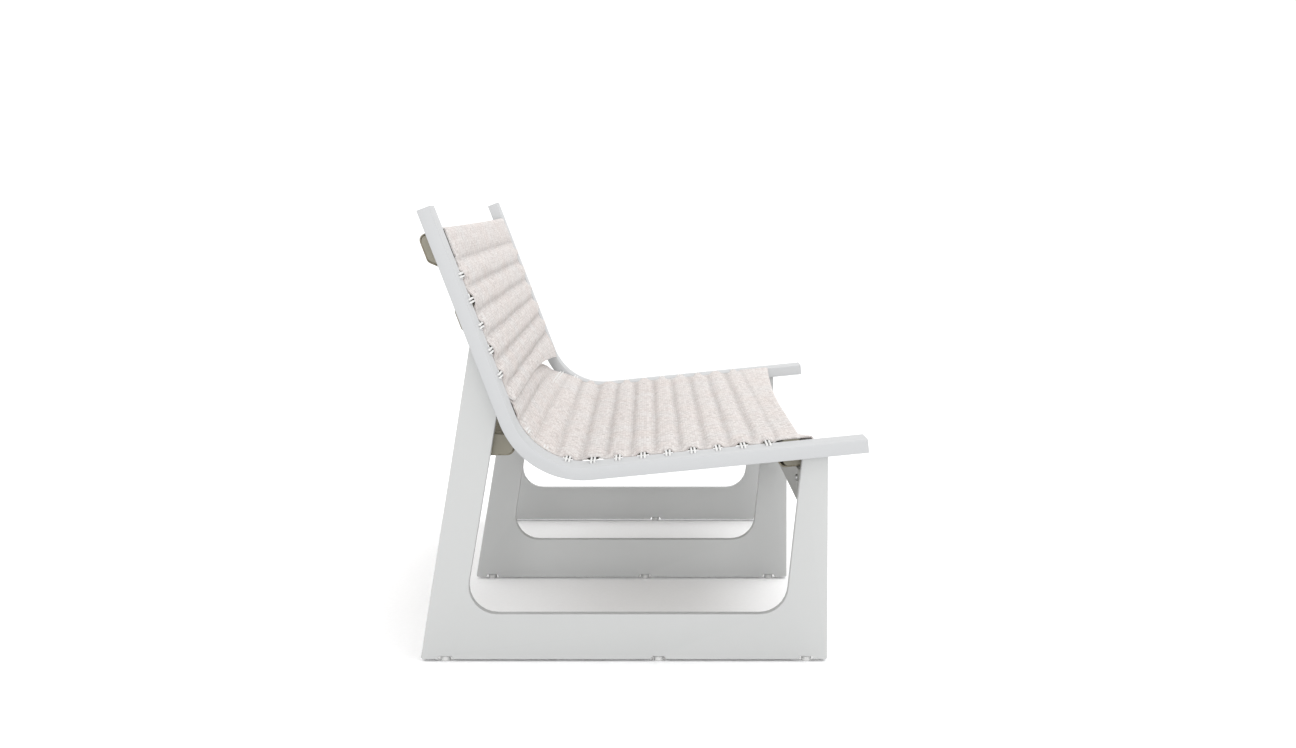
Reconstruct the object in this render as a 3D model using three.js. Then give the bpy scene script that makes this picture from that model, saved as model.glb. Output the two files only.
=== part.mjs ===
// Garden lounge bench: two bent side rails on three sled leg frames, joined by
// cross bars, with a seat sling and a back sling carried on elastic cord loops.
// Units are millimetres. X runs along the bench, the front faces -Y, +Z is up,
// and the origin is on the floor under the middle of the bounding box.
import * as THREE from 'three';

// ---------- driving dimensions ----------
const LENGTH = 1455;            // outer face of one side rail to the other
const RAIL_W = 77.5;            // width of a rail's band, along X
const RAIL_T = 23.4;            // thickness of the band
const RECLINE = 20.776;         // back, degrees from upright
const SEAT_RISE = 5.66;         // seat, degrees up towards the front
const BEND_R = 130;             // inner radius of the bend between back and seat
const BACK_LEN = 391;           // straight length of the back, above the bend
const SEAT_LEN = 482;           // straight length of the seat, ahead of the bend
const BEND_U = -214.6;          // corner of the rail's outer lines, forward of the datum
const BEND_Z = 315.36;          // and its height
const U_OFFSET = 9.35;          // the datum plane lies this far ahead of the origin

const LEG_T = 20;               // thickness of a leg frame
const LEG_INSET = 27.7;         // rail's outer face to the leg frame's outer face
const LEG_GROUND = 4.1;         // underside of a leg frame above the floor
const LEG_BASE_TOP = 85;        // top edge of the base runner
const LEG_FILLET = 50;          // fillets of the leg frame's cut-out

const APRON_T = 20;
const APRON_BACK = 263;         // rear face of the front apron, forward of the datum
const APRON_LOW = 281;          // its lower edge

const CORD_D = 4.2;             // elastic cord
const CORD_PAIR = 6;            // spacing of the two strands of a loop
const CORD_ANCHOR = 38;         // loop's end, in from the rail's inner face
const SEAT_CORD_U = [-141.1, -97, -53, -9, 35.2, 79.2, 123.2, 167.2, 211.2];
const SEAT_REAR_CORDS = [[-183, 365.6, -12], [-217, 375.6, -17]];
const BACK_CORD_S = [261.3, 214, 166.8, 120, 74];

const SLING_T = 2.2;            // thickness of the fabric
const SLING_HALF = 639;         // half of the fabric's width, along X
const GAP = 0.3;                // clearance kept between touching pieces

const GLIDE_D = 17;
const GLIDE_H = 8.8;
const RECESS_W = 27;
const RECESS_H = 5;

// ---------- materials ----------
const coat = (c) => new THREE.MeshStandardMaterial({ color: c, roughness: 0.45, metalness: 0.15 });
const fabric = () => new THREE.MeshStandardMaterial({ color: 0xe3dcd6, roughness: 0.95, metalness: 0 });
const cordMat = () => new THREE.MeshStandardMaterial({ color: 0xf1efe9, roughness: 0.8, metalness: 0 });
const nylon = () => new THREE.MeshStandardMaterial({ color: 0xc9cac8, roughness: 0.6, metalness: 0 });
const steel = () => new THREE.MeshStandardMaterial({ color: 0xb8b9ba, roughness: 0.3, metalness: 1 });

const group = new THREE.Group();
group.name = 'lounge_bench';

// ---------- helpers ----------
const rad = (d) => d * Math.PI / 180;
const V = (u, z) => new THREE.Vector2(u, z);
// side profiles are drawn in (u, z): u forward of the datum, z up
const SIDE = new THREE.Matrix4().makeBasis(
  new THREE.Vector3(0, -1, 0), new THREE.Vector3(0, 0, 1), new THREE.Vector3(-1, 0, 0));

function addProfile(name, outline, x0, x1, material, bevel = 0, segments = 2) {
  const shape = new THREE.Shape(outline);
  const depth = x1 - x0 - 2 * bevel;
  const geometry = new THREE.ExtrudeGeometry(shape, {
    depth, bevelEnabled: bevel > 0, bevelThickness: bevel, bevelSize: bevel,
    bevelOffset: -bevel, bevelSegments: segments, steps: 1,
  });
  const mesh = new THREE.Mesh(geometry, material);
  mesh.name = name;
  mesh.rotation.setFromRotationMatrix(SIDE);
  mesh.position.set(x1 - bevel, -U_OFFSET, 0);
  group.add(mesh);
  return mesh;
}

// polyline with rounded corners: points are [u, z, radius]
function rounded(points, closed = true, arcSegments = 6) {
  const out = [];
  const n = points.length;
  for (let i = 0; i < n; i++) {
    const [u, z, r = 0] = points[i];
    const p = V(u, z);
    if (!r || (!closed && (i === 0 || i === n - 1))) { out.push(p); continue; }
    const a = V(points[(i + n - 1) % n][0], points[(i + n - 1) % n][1]).sub(p).normalize();
    const b = V(points[(i + 1) % n][0], points[(i + 1) % n][1]).sub(p).normalize();
    const half = Math.acos(THREE.MathUtils.clamp(a.dot(b), -1, 1)) / 2;
    const t = r / Math.tan(half);
    const start = p.clone().addScaledVector(a, t);
    const end = p.clone().addScaledVector(b, t);
    const c = p.clone().addScaledVector(a.clone().add(b).normalize(), r / Math.sin(half));
    const a0 = Math.atan2(start.y - c.y, start.x - c.x);
    let da = Math.atan2(end.y - c.y, end.x - c.x) - a0;
    if (da > Math.PI) da -= 2 * Math.PI;
    if (da < -Math.PI) da += 2 * Math.PI;
    for (let k = 0; k <= arcSegments; k++) {
      const q = a0 + da * k / arcSegments;
      out.push(V(c.x + r * Math.cos(q), c.y + r * Math.sin(q)));
    }
  }
  return out;
}

// a sheet of even thickness that follows a polyline
function thicken(line, t) {
  const left = [];
  const right = [];
  for (let i = 0; i < line.length; i++) {
    const a = line[Math.max(i - 1, 0)];
    const b = line[Math.min(i + 1, line.length - 1)];
    const d0 = line[i].clone().sub(a);
    const d1 = b.clone().sub(line[i]);
    if (d0.lengthSq() === 0) d0.copy(d1);
    if (d1.lengthSq() === 0) d1.copy(d0);
    d0.normalize(); d1.normalize();
    const n0 = V(-d0.y, d0.x);
    const n1 = V(-d1.y, d1.x);
    const m = n0.clone().add(n1).normalize();
    const k = (t / 2) / Math.max(0.35, m.dot(n0));
    left.push(line[i].clone().addScaledVector(m, k));
    right.push(line[i].clone().addScaledVector(m, -k));
  }
  return left.concat(right.reverse());
}

// ---------- side rails ----------
const dirBack = V(-Math.sin(rad(RECLINE)), Math.cos(rad(RECLINE)));   // up the back
const dirSeat = V(Math.cos(rad(SEAT_RISE)), Math.sin(rad(SEAT_RISE))); // forward along the seat
const nBack = V(dirBack.y, -dirBack.x);                                // towards the sitter
const nSeat = V(-dirSeat.y, dirSeat.x);
const corner = V(BEND_U, BEND_Z);
const outerR = BEND_R + RAIL_T;
const halfAngle = Math.acos(dirBack.dot(dirSeat)) / 2;
const tangent = outerR / Math.tan(halfAngle);
const A = corner.clone().addScaledVector(dirBack, tangent);  // bend starts, on the outer line
const B = corner.clone().addScaledVector(dirSeat, tangent);  // bend ends
// point at distance s up the back (or forward along the seat) and n off the outer surface
const onBack = (s, n) => A.clone().addScaledVector(dirBack, s).addScaledVector(nBack, n);
const onSeat = (s, n) => B.clone().addScaledVector(dirSeat, s).addScaledVector(nSeat, n);
const bendC = A.clone().addScaledVector(nBack, outerR);
function onBend(r, k) {       // k from 0 at the back to 1 at the seat
  const a0 = Math.atan2(-nBack.y, -nBack.x);
  let a1 = Math.atan2(-nSeat.y, -nSeat.x);
  if (a1 < a0) a1 += 2 * Math.PI;
  const q = a0 + (a1 - a0) * k;
  return V(bendC.x + r * Math.cos(q), bendC.y + r * Math.sin(q));
}
const BEND_STEPS = 18;
const railOutline = [];
railOutline.push(onBack(BACK_LEN, 0));
for (let i = 0; i <= BEND_STEPS; i++) railOutline.push(onBend(outerR, i / BEND_STEPS));
railOutline.push(onSeat(SEAT_LEN, 0));
railOutline.push(onSeat(SEAT_LEN, RAIL_T));
for (let i = BEND_STEPS; i >= 0; i--) railOutline.push(onBend(BEND_R, i / BEND_STEPS));
railOutline.push(onBack(BACK_LEN, RAIL_T));
const H = LENGTH / 2;
const IN = H - RAIL_W;          // inner face of a rail
addProfile('side_rail_left', railOutline, -H, -IN, coat(0xe9eaeb), 1.4);
addProfile('side_rail_right', railOutline, IN, H, coat(0xe9eaeb), 1.4);

// ---------- leg frames ----------
// height where a straight line u = c + k z meets the rail's back or its underside
const backZ = (c, k) => (A.x + A.y * Math.tan(rad(RECLINE)) - c) / (k + Math.tan(rad(RECLINE)));
const seatZ = (u) => B.y + (u - B.x) * Math.tan(rad(SEAT_RISE));
const gapBack = GAP / Math.cos(rad(RECLINE));

function recessedBase(u0, u1, glides) {
  const pts = [[u0, LEG_GROUND, 3]];
  for (const g of glides) {
    pts.push([g - RECESS_W / 2, LEG_GROUND, 0], [g - RECESS_W / 2 + 2.5, LEG_GROUND + RECESS_H, 0],
      [g + RECESS_W / 2 - 2.5, LEG_GROUND + RECESS_H, 0], [g + RECESS_W / 2, LEG_GROUND, 0]);
  }
  pts.push([u1, LEG_GROUND, 3]);
  return pts;
}

function outerLeg() {
  const ro = [-400.9, 0.1644];   // rear post, outer edge: u = c + k z
  const ri = [-338.6, 0.1735];   // rear post, inner edge
  const fi = [232.9, 0.0996];    // front post, inner edge
  const fo = [315.1, -0.0035];   // front post, outer edge
  const at = (l, z) => l[0] + l[1] * z;
  const zo = backZ(ro[0], ro[1]) - 1.5;
  const zi = backZ(ri[0], ri[1]);
  const shift = V(-nBack.x, -nBack.y).multiplyScalar(GAP);
  const topRear = V(at(ro, zo), zo);
  // both corners of the rear post's top lie on a line parallel to the rail's back
  const lineU = (z) => A.x + (A.y - z) * Math.tan(rad(RECLINE)) - gapBack;
  const zr = (lineU(0) - ro[0]) / (ro[1] + Math.tan(rad(RECLINE)));
  const zq = (lineU(0) - ri[0]) / (ri[1] + Math.tan(rad(RECLINE)));
  const zf0 = seatZ(at(fi, 363)) - GAP;
  const zf1 = seatZ(at(fo, 367)) - GAP;
  return rounded([
    ...recessedBase(at(ro, LEG_GROUND), at(fo, LEG_GROUND), GLIDES_OUTER),
    [at(fo, zf1), zf1, 0],
    [at(fi, zf0), zf0, 0],
    [at(fi, LEG_BASE_TOP), LEG_BASE_TOP, LEG_FILLET],
    [at(ri, LEG_BASE_TOP), LEG_BASE_TOP, LEG_FILLET],
    [at(ri, zq), zq, 0],
    [at(ro, zr), zr, 0],
  ], true, 8);
}

const GLIDES_OUTER = [-357, 19, 279];
const GLIDES_MIDDLE = [-333, -6, 258];
addProfile('leg_frame_left', outerLeg(), -H + LEG_INSET, -H + LEG_INSET + LEG_T, coat(0xdfe0df), 1.2);
addProfile('leg_frame_right', outerLeg(), H - LEG_INSET - LEG_T, H - LEG_INSET, coat(0xdfe0df), 1.2);

// ---------- cross bars ----------
// top bar: in the pocket at the top of the back sling
const TOP_BAR = { s0: 303, s1: 347, n0: -22, n1: 26, r: 9 };
// middle bar: a shallow strap bar behind the back
const MID_BAR = { s0: 168, s1: 210, n0: -11, n1: 8, r: 6 };
// front bar: in the pocket at the front of the seat sling
const FRONT_BAR = { s0: 338, s1: 372, n0: -20.5, n1: 29, r: 7 };
// rear bar: in the pocket at the rear end of the seat sling
const REAR_BAR = { u0: -291, u1: -238.5, z0: 360.5, z1: 397.5, r: 12, rTop: 22 };

const box = (f, b) => [[b.s0, b.n0], [b.s1, b.n0], [b.s1, b.n1], [b.s0, b.n1]]
  .map(([s, n]) => { const p = f(s, n); return [p.x, p.y, b.r]; });
const topBar = rounded(box(onBack, TOP_BAR), true, 5);
const midBar = rounded(box(onBack, MID_BAR), true, 4);
const frontBar = rounded(box(onSeat, FRONT_BAR), true, 6);
const rearBar = rounded([
  [REAR_BAR.u0, REAR_BAR.z0, REAR_BAR.r], [REAR_BAR.u1, REAR_BAR.z0, REAR_BAR.r],
  [REAR_BAR.u1, REAR_BAR.z1, REAR_BAR.rTop], [REAR_BAR.u0, REAR_BAR.z1, REAR_BAR.r],
], true, 5);
addProfile('crossbar_top', topBar, -IN + GAP, IN - GAP, coat(0xc9c7bf));
addProfile('crossbar_middle', midBar, -IN + GAP, IN - GAP, coat(0xd9d9d5));
addProfile('crossbar_rear', rearBar, -IN + GAP, IN - GAP, coat(0xc9c7bf));
addProfile('crossbar_front', frontBar, -IN + GAP, IN - GAP, coat(0xc9c7bf));

// ---------- middle leg frame: its posts stop under the rear and front bars ----------
// the seat sling passes under both bars, so each post stops below the fabric
const WRAP = GAP + SLING_T + GAP;
function middleLeg() {
  const ro = [-368.1, 0.165];
  const ri = [-304.5, 0.158];
  const fi = [215.7, 0.0926];
  const fo = [296.6, -0.004];
  const at = (l, z) => l[0] + l[1] * z;
  const zr = REAR_BAR.z0 - WRAP;
  const lowFront = (u) => B.y + (u - B.x) * Math.tan(rad(SEAT_RISE))
    + (FRONT_BAR.n0 - WRAP) / Math.cos(rad(SEAT_RISE));
  const z0 = lowFront(at(fi, 337));
  const z1 = lowFront(at(fo, 341));
  return rounded([
    ...recessedBase(at(ro, LEG_GROUND), at(fo, LEG_GROUND), GLIDES_MIDDLE),
    [at(fo, z1), z1, 0],
    [at(fi, z0), z0, 0],
    [at(fi, LEG_BASE_TOP), LEG_BASE_TOP, LEG_FILLET],
    [at(ri, LEG_BASE_TOP), LEG_BASE_TOP, LEG_FILLET],
    [at(ri, zr), zr, 0],
    [at(ro, zr), zr, 0],
  ], true, 8);
}
addProfile('leg_frame_middle', middleLeg(), -LEG_T / 2, LEG_T / 2, coat(0xdfe0df), 1.2);

// ---------- front apron, in two spans between the leg frames ----------
const apronTop = (u) => B.y + (u - B.x) * Math.tan(rad(SEAT_RISE))
  + (FRONT_BAR.n0 - WRAP - 0.6) / Math.cos(rad(SEAT_RISE));
const apron = [
  V(APRON_BACK, APRON_LOW), V(APRON_BACK + APRON_T, APRON_LOW),
  V(APRON_BACK + APRON_T, apronTop(APRON_BACK + APRON_T)), V(APRON_BACK, apronTop(APRON_BACK)),
];
const legIn = H - LEG_INSET - LEG_T;
addProfile('front_apron_left', apron, -legIn + GAP, -LEG_T / 2 - GAP, coat(0xdcddda), 1);
addProfile('front_apron_right', apron, LEG_T / 2 + GAP, legIn - GAP, coat(0xdcddda), 1);

// ---------- bolts on the apron's rear face ----------
function bolt(name, x, z) {
  const r = 6.2;
  const h = 3.6;
  const profile = [V(0, 0), V(r, 0), V(r, h * 0.45), V(r * 0.78, h * 0.88), V(r * 0.5, h),
    V(2.3, h), V(2.3, h - 2), V(0, h - 2)];
  const geometry = new THREE.LatheGeometry(profile, 16);
  const mesh = new THREE.Mesh(geometry, steel());
  mesh.name = name;
  mesh.rotation.x = Math.PI / 2 * -1;        // axis from +Y (lathe) to the rear (+Y world is the rear)
  mesh.rotation.set(0, 0, 0);
  mesh.position.set(x, -(APRON_BACK - GAP) - U_OFFSET, z);
  group.add(mesh);
}
const BOLT_X = legIn - 16;
bolt('apron_bolt_1', -BOLT_X, 322);
bolt('apron_bolt_2', -LEG_T / 2 - 16, 322);
bolt('apron_bolt_3', LEG_T / 2 + 16, 322);
bolt('apron_bolt_4', BOLT_X, 322);

// ---------- glides ----------
function glide(name, x, u) {
  const r = GLIDE_D / 2;
  const profile = [V(0, 0), V(r - 1.2, 0), V(r, 1.2), V(r, GLIDE_H - 1), V(r - 1, GLIDE_H), V(0, GLIDE_H)];
  const geometry = new THREE.LatheGeometry(profile, 20);
  geometry.rotateX(Math.PI / 2);
  const mesh = new THREE.Mesh(geometry, nylon());
  mesh.name = name;
  mesh.position.set(x, -u - U_OFFSET, 0);
  group.add(mesh);
}
const legX = H - LEG_INSET - LEG_T / 2;
['left', 'middle', 'right'].forEach((side, i) => {
  const x = [-legX, 0, legX][i];
  const us = i === 1 ? GLIDES_MIDDLE : GLIDES_OUTER;
  ['rear', 'centre', 'front'].forEach((place, k) => glide(`glide_${side}_${place}`, x, us[k]));
});

// ---------- elastic cord loops ----------
class Route extends THREE.Curve {
  constructor(points) { super(); this.points = points; }
  getPoint(t, target = new THREE.Vector3()) {
    const n = this.points.length - 1;
    const k = Math.min(n - 1, Math.floor(t * n));
    return target.copy(this.points[k]).lerp(this.points[k + 1], t * n - k);
  }
  getPointAt(t, target) { return this.getPoint(t, target); }
  getTangentAt(t, target = new THREE.Vector3()) {
    const n = this.points.length - 1;
    const k = Math.round(t * n);
    const a = this.points[Math.max(0, k - 1)];
    const b = this.points[Math.min(n, k + 1)];
    return target.copy(b).sub(a).normalize();
  }
}

// a long hairpin of two strands, lying in the plane of X and dir, centred on p:
// it turns at the left end, and both strands end square at the right end
function cordLoop(name, p, dir, reach) {
  const r = CORD_PAIR / 2;
  const pts = [];
  const put = (x, w) => pts.push(new THREE.Vector3(x, -(p.x + dir.x * w) - U_OFFSET, p.y + dir.y * w));
  const n = 6;
  put(reach, r);
  for (let i = 0; i <= n; i++) { const a = Math.PI / 2 + Math.PI * i / n; put(-reach + r + r * Math.cos(a), r * Math.sin(a)); }
  put(reach, -r);
  const ring = [];
  for (let i = 0; i < 8; i++) { const a = Math.PI / 4 * i + Math.PI / 8; ring.push(V(CORD_D / 2 * Math.cos(a), CORD_D / 2 * Math.sin(a))); }
  const geometry = new THREE.ExtrudeGeometry(new THREE.Shape(ring), {
    steps: pts.length - 1, extrudePath: new Route(pts), bevelEnabled: false,
  });
  const mesh = new THREE.Mesh(geometry, cordMat());
  mesh.name = name;
  group.add(mesh);
}

const lift = RAIL_T + GAP + CORD_D / 2;
const anchor = IN + CORD_ANCHOR;
SEAT_CORD_U.forEach((u, i) => {
  const k = onBend(BEND_R, 1);
  let p, dir;
  if (u < k.x) {                 // on the bend
    const a = Math.acos((u - bendC.x) / BEND_R) * -1;
    dir = V(-Math.sin(a), Math.cos(a));
    p = V(bendC.x + (BEND_R - GAP - CORD_D / 2 - 0.6) * Math.cos(a), bendC.y + (BEND_R - GAP - CORD_D / 2 - 0.6) * Math.sin(a));
  } else {
    dir = dirSeat;
    p = onSeat((u - onSeat(0, lift).x) / dirSeat.x, lift);
  }
  cordLoop(`seat_cord_${String(i + 1).padStart(2, '0')}`, p, dir, anchor);
});
SEAT_REAR_CORDS.forEach(([u, z, tilt], i) => {
  cordLoop(`seat_rear_cord_${i + 1}`, V(u, z), V(Math.cos(rad(tilt)), Math.sin(rad(tilt))), IN - GAP - CORD_D / 2);
});
BACK_CORD_S.forEach((s, i) => cordLoop(`back_cord_${i + 1}`, onBack(s, lift), dirBack, anchor));

// ---------- slings: plain sheets that clear the cords, with pockets around their bars ----------
const off = GAP + SLING_T / 2;
const sheetN = RAIL_T + GAP + CORD_D + 0.4 + SLING_T / 2;
const wrapBox = (b, o) => ({ s0: b.s0 - o, s1: b.s1 + o, n0: b.n0 - o, n1: b.n1 + o, r: b.r + o });

// the back sling is a flat panel, and a pocket that goes on from it around the top bar
const tb = wrapBox(TOP_BAR, off);
const backPocket = rounded([
  [...onBack(281, 20).toArray(), 0],
  [...onBack(289, 2).toArray(), 10],
  [...onBack(tb.s0 + 2, tb.n0).toArray(), 10],
  [...onBack(tb.s1, tb.n0).toArray(), tb.r],
  [...onBack(tb.s1, sheetN).toArray(), tb.r],
  [...onBack(328 + GAP, sheetN).toArray(), 0],
], false, 5);
const backLine = [onBack(328, sheetN), onBack(-13, sheetN)];
addProfile('back_sling', thicken(backLine, SLING_T), -SLING_HALF, SLING_HALF, fabric());
addProfile('back_sling_top_pocket', thicken(backPocket, SLING_T), -SLING_HALF, SLING_HALF, fabric());

// the seat sling is a flat panel over the cords, a rear part that dips through the bend,
// and a pocket around the bar at each end
const fb = wrapBox(FRONT_BAR, off);
const frontPocket = rounded([
  [...onSeat(312, 12).toArray(), 0],
  [...onSeat(322, -4).toArray(), 10],
  [...onSeat(fb.s0 + 4, fb.n0).toArray(), 12],
  [...onSeat(fb.s1, fb.n0).toArray(), fb.r],
  [...onSeat(fb.s1, fb.n1).toArray(), fb.r],
  [...onSeat(336, fb.n1).toArray(), 60],
  [...onSeat(306, sheetN).toArray(), 0],
], false, 6);
const seatLine = [onSeat(306 - GAP, sheetN), onSeat(-4, sheetN)];
const rearLine = rounded([
  [...onSeat(-4 - GAP, sheetN).toArray(), 0],
  [...onSeat(-16, sheetN).toArray(), 60],
  [-200, 375.2, 60],
  [REAR_BAR.u1 + off + 1.8, 383.6, 0],
], false, 6);
const rearPocket = rounded([
  [REAR_BAR.u1 + off, 374.2, 0],
  [REAR_BAR.u1 + off, REAR_BAR.z1 + off, REAR_BAR.rTop + off],
  [REAR_BAR.u0 - off, REAR_BAR.z1 + off, REAR_BAR.r + off],
  [REAR_BAR.u0 - off, REAR_BAR.z0 - off, REAR_BAR.r + off],
  [REAR_BAR.u1 + off, REAR_BAR.z0 - off, REAR_BAR.r + off],
  [REAR_BAR.u1 + off, REAR_BAR.z0 + 12.4, 0],
], false, 6);
addProfile('seat_sling', thicken(seatLine, SLING_T), -SLING_HALF, SLING_HALF, fabric());
addProfile('seat_sling_rear', thicken(rearLine, SLING_T), -SLING_HALF, SLING_HALF, fabric());
addProfile('seat_sling_front_pocket', thicken(frontPocket, SLING_T), -SLING_HALF, SLING_HALF, fabric());
addProfile('seat_sling_rear_pocket', thicken(rearPocket, SLING_T), -SLING_HALF, SLING_HALF, fabric());

export default group;
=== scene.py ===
import math

import bpy
import numpy as np
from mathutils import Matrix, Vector


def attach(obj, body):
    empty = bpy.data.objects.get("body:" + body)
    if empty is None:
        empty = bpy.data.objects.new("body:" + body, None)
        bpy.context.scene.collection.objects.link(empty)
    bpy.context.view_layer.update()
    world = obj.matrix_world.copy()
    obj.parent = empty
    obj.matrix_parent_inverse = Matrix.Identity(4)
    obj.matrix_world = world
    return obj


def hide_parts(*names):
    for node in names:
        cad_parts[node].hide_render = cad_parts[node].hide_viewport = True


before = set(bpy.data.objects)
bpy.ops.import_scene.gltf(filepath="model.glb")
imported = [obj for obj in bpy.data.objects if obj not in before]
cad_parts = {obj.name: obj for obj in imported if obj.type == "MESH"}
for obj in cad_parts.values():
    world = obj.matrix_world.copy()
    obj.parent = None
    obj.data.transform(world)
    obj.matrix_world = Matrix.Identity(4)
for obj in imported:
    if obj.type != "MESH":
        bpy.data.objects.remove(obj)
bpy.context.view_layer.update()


# ---------------------------------------------------------------- driving values, in mm
H = 727.5
IN = 650.0
RAIL_T = 23.4
RECLINE = math.radians(20.776)
RISE = math.radians(5.66)
BEND_R = 130.0
OUT_R = BEND_R + RAIL_T
BACK_LEN = 391.0
SEAT_LEN = 482.0
U0 = 9.35

dirBack = np.array([-math.sin(RECLINE), math.cos(RECLINE)])
dirSeat = np.array([math.cos(RISE), math.sin(RISE)])
nBack = np.array([dirBack[1], -dirBack[0]])
nSeat = np.array([-dirSeat[1], dirSeat[0]])
CORNER = np.array([-214.6, 315.36])
HALF = math.acos(float(dirBack @ dirSeat)) / 2
TAN = OUT_R / math.tan(HALF)
A = CORNER + dirBack * TAN
B = CORNER + dirSeat * TAN
C = A + nBack * OUT_R
A0 = math.atan2(-nBack[1], -nBack[0])
A1 = math.atan2(-nSeat[1], -nSeat[0])
if A1 < A0:
    A1 += 2 * math.pi
ARC = BEND_R * (A1 - A0)          # the bend's length on the rail's upper face


def on_back(s, n):
    return A + dirBack * s + nBack * n


def on_seat(s, n):
    return B + dirSeat * s + nSeat * n


def on_rail(t, n):
    """t runs along the rail's upper face: 0 where the bend meets the seat, negative through the bend and up the back."""
    if t >= 0:
        return on_seat(t, n)
    if t <= -ARC:
        return on_back(-t - ARC, n)
    q = A1 + t / BEND_R
    r = OUT_R - n
    return C + r * np.array([math.cos(q), math.sin(q)])


def W(x, uz):
    return (x / 1000.0, -(uz[0] + U0) / 1000.0, uz[1] / 1000.0)


# t of a cord at height n = 25.8 over the rail, from its place along u
def t_of_u(u):
    s = (u - on_seat(0, 25.8)[0]) / dirSeat[0]
    if s >= 0:
        return s
    q = -math.acos((u - C[0]) / (OUT_R - 25.8))
    q1 = A1 if A1 <= 0 else A1 - 2 * math.pi
    return (q - q1) * BEND_R


SEAT_CORDS = [t_of_u(u) for u in (-141.1, -97, -53, -9, 35.2, 79.2, 123.2, 167.2, 211.2)]
BACK_CORDS = [261.3, 214, 166.8, 120, 74]
CORD_R = 2.1
PAIR = 6.0


# ---------------------------------------------------------------- small helpers
def rounded(points, closed=True, steps=8):
    out = []
    n = len(points)
    for i, p in enumerate(points):
        c = np.array(p[:2], float)
        r = p[2] if len(p) > 2 else 0
        if not r or (not closed and i in (0, n - 1)):
            out.append(c)
            continue
        a = np.array(points[i - 1][:2], float) - c
        b = np.array(points[(i + 1) % n][:2], float) - c
        a /= np.linalg.norm(a)
        b /= np.linalg.norm(b)
        half = math.acos(max(-1.0, min(1.0, float(a @ b)))) / 2
        t = r / math.tan(half)
        m = a + b
        m /= np.linalg.norm(m)
        o = c + m * (r / math.sin(half))
        p0, p1 = c + a * t, c + b * t
        a0 = math.atan2(*(p0 - o)[::-1])
        da = math.atan2(*(p1 - o)[::-1]) - a0
        da = (da + math.pi) % (2 * math.pi) - math.pi
        for k in range(steps + 1):
            q = a0 + da * k / steps
            out.append(o + r * np.array([math.cos(q), math.sin(q)]))
    return out


def resample(line, count):
    line = np.array(line, float)
    d = np.r_[0, np.cumsum(np.linalg.norm(np.diff(line, axis=0), axis=1))]
    t = np.linspace(0, d[-1], count)
    return np.c_[np.interp(t, d, line[:, 0]), np.interp(t, d, line[:, 1])]


def smooth_through(points, count):
    """A smooth line through the points (Catmull-Rom), evenly resampled."""
    p = np.array(points, float)
    p = np.vstack([2 * p[0] - p[1], p, 2 * p[-1] - p[-2]])
    out = []
    for i in range(1, len(p) - 2):
        for k in range(12):
            t = k / 12
            out.append(0.5 * ((2 * p[i]) + (p[i + 1] - p[i - 1]) * t
                              + (2 * p[i - 1] - 5 * p[i] + 4 * p[i + 1] - p[i + 2]) * t * t
                              + (3 * p[i] - p[i - 1] - 3 * p[i + 1] + p[i + 2]) * t ** 3))
    out.append(p[-2])
    return resample(out, count)


def smoothstep(x, a, b):
    t = min(1.0, max(0.0, (x - a) / (b - a)))
    return t * t * (3 - 2 * t)


def new_mesh(name, verts, faces, smooth=30.0):
    me = bpy.data.meshes.new(name)
    me.from_pydata([tuple(map(float, v)) for v in verts], [], faces)
    me.validate()
    me.update()
    ob = bpy.data.objects.new(name, me)
    bpy.context.scene.collection.objects.link(ob)
    shade(me, smooth)
    return ob


def shade(me, angle):
    me.polygons.foreach_set("use_smooth", [True] * len(me.polygons))
    if angle is not None:
        me.set_sharp_from_angle(angle=math.radians(angle))
    me.update()


def inset(outline, d):
    """The outline (counter-clockwise) moved inwards by d."""
    p = np.array(outline, float)
    n = len(p)
    out = []
    for i in range(n):
        a = p[i] - p[i - 1]
        b = p[(i + 1) % n] - p[i]
        a /= np.linalg.norm(a)
        b /= np.linalg.norm(b)
        na = np.array([-a[1], a[0]])
        nb = np.array([-b[1], b[0]])
        m = na + nb
        m /= np.linalg.norm(m)
        out.append(p[i] + m * d / max(0.35, float(m @ na)))
    return np.array(out)


def area2(p):
    p = np.array(p)
    q = np.roll(p, -1, axis=0)
    return float((p[:, 0] * q[:, 1] - q[:, 0] * p[:, 1]).sum())


def clean(outline):
    out = []
    for q in outline:
        if not out or np.linalg.norm(np.array(q) - out[-1]) > 0.05:
            out.append(np.array(q, float))
    if np.linalg.norm(out[0] - out[-1]) < 0.05:
        out.pop()
    return out


def profile_solid(name, outline, x0, x1, bevel=1.5, segs=3, angle=30.0):
    """A side profile (u, z) carried along X, with rounded edges at both ends."""
    outline = clean(outline)
    if area2(outline) < 0:
        outline = outline[::-1]
    n = len(outline)
    rings = []
    for k in range(segs + 1):
        q = math.pi / 2 * k / segs
        rings.append((x0 + bevel * (1 - math.cos(q)), bevel * (1 - math.sin(q))))
    for k in range(segs, -1, -1):
        q = math.pi / 2 * k / segs
        rings.append((x1 - bevel * (1 - math.cos(q)), bevel * (1 - math.sin(q))))
    verts, faces = [], []
    for x, d in rings:
        ring = inset(outline, d) if d > 1e-9 else np.array(outline)
        verts += [W(x, p) for p in ring]
    for r in range(len(rings) - 1):
        for i in range(n):
            j = (i + 1) % n
            faces.append((r * n + i, r * n + j, (r + 1) * n + j, (r + 1) * n + i))
    faces.append(tuple(range(n))[::-1])
    faces.append(tuple(range((len(rings) - 1) * n, len(rings) * n)))
    ob = new_mesh(name, verts, faces, None)
    bm_normals(ob)
    shade(ob.data, angle)
    return ob


def bm_normals(ob):
    import bmesh
    bm = bmesh.new()
    bm.from_mesh(ob.data)
    bmesh.ops.recalc_face_normals(bm, faces=bm.faces)
    bm.to_mesh(ob.data)
    bm.free()


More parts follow.
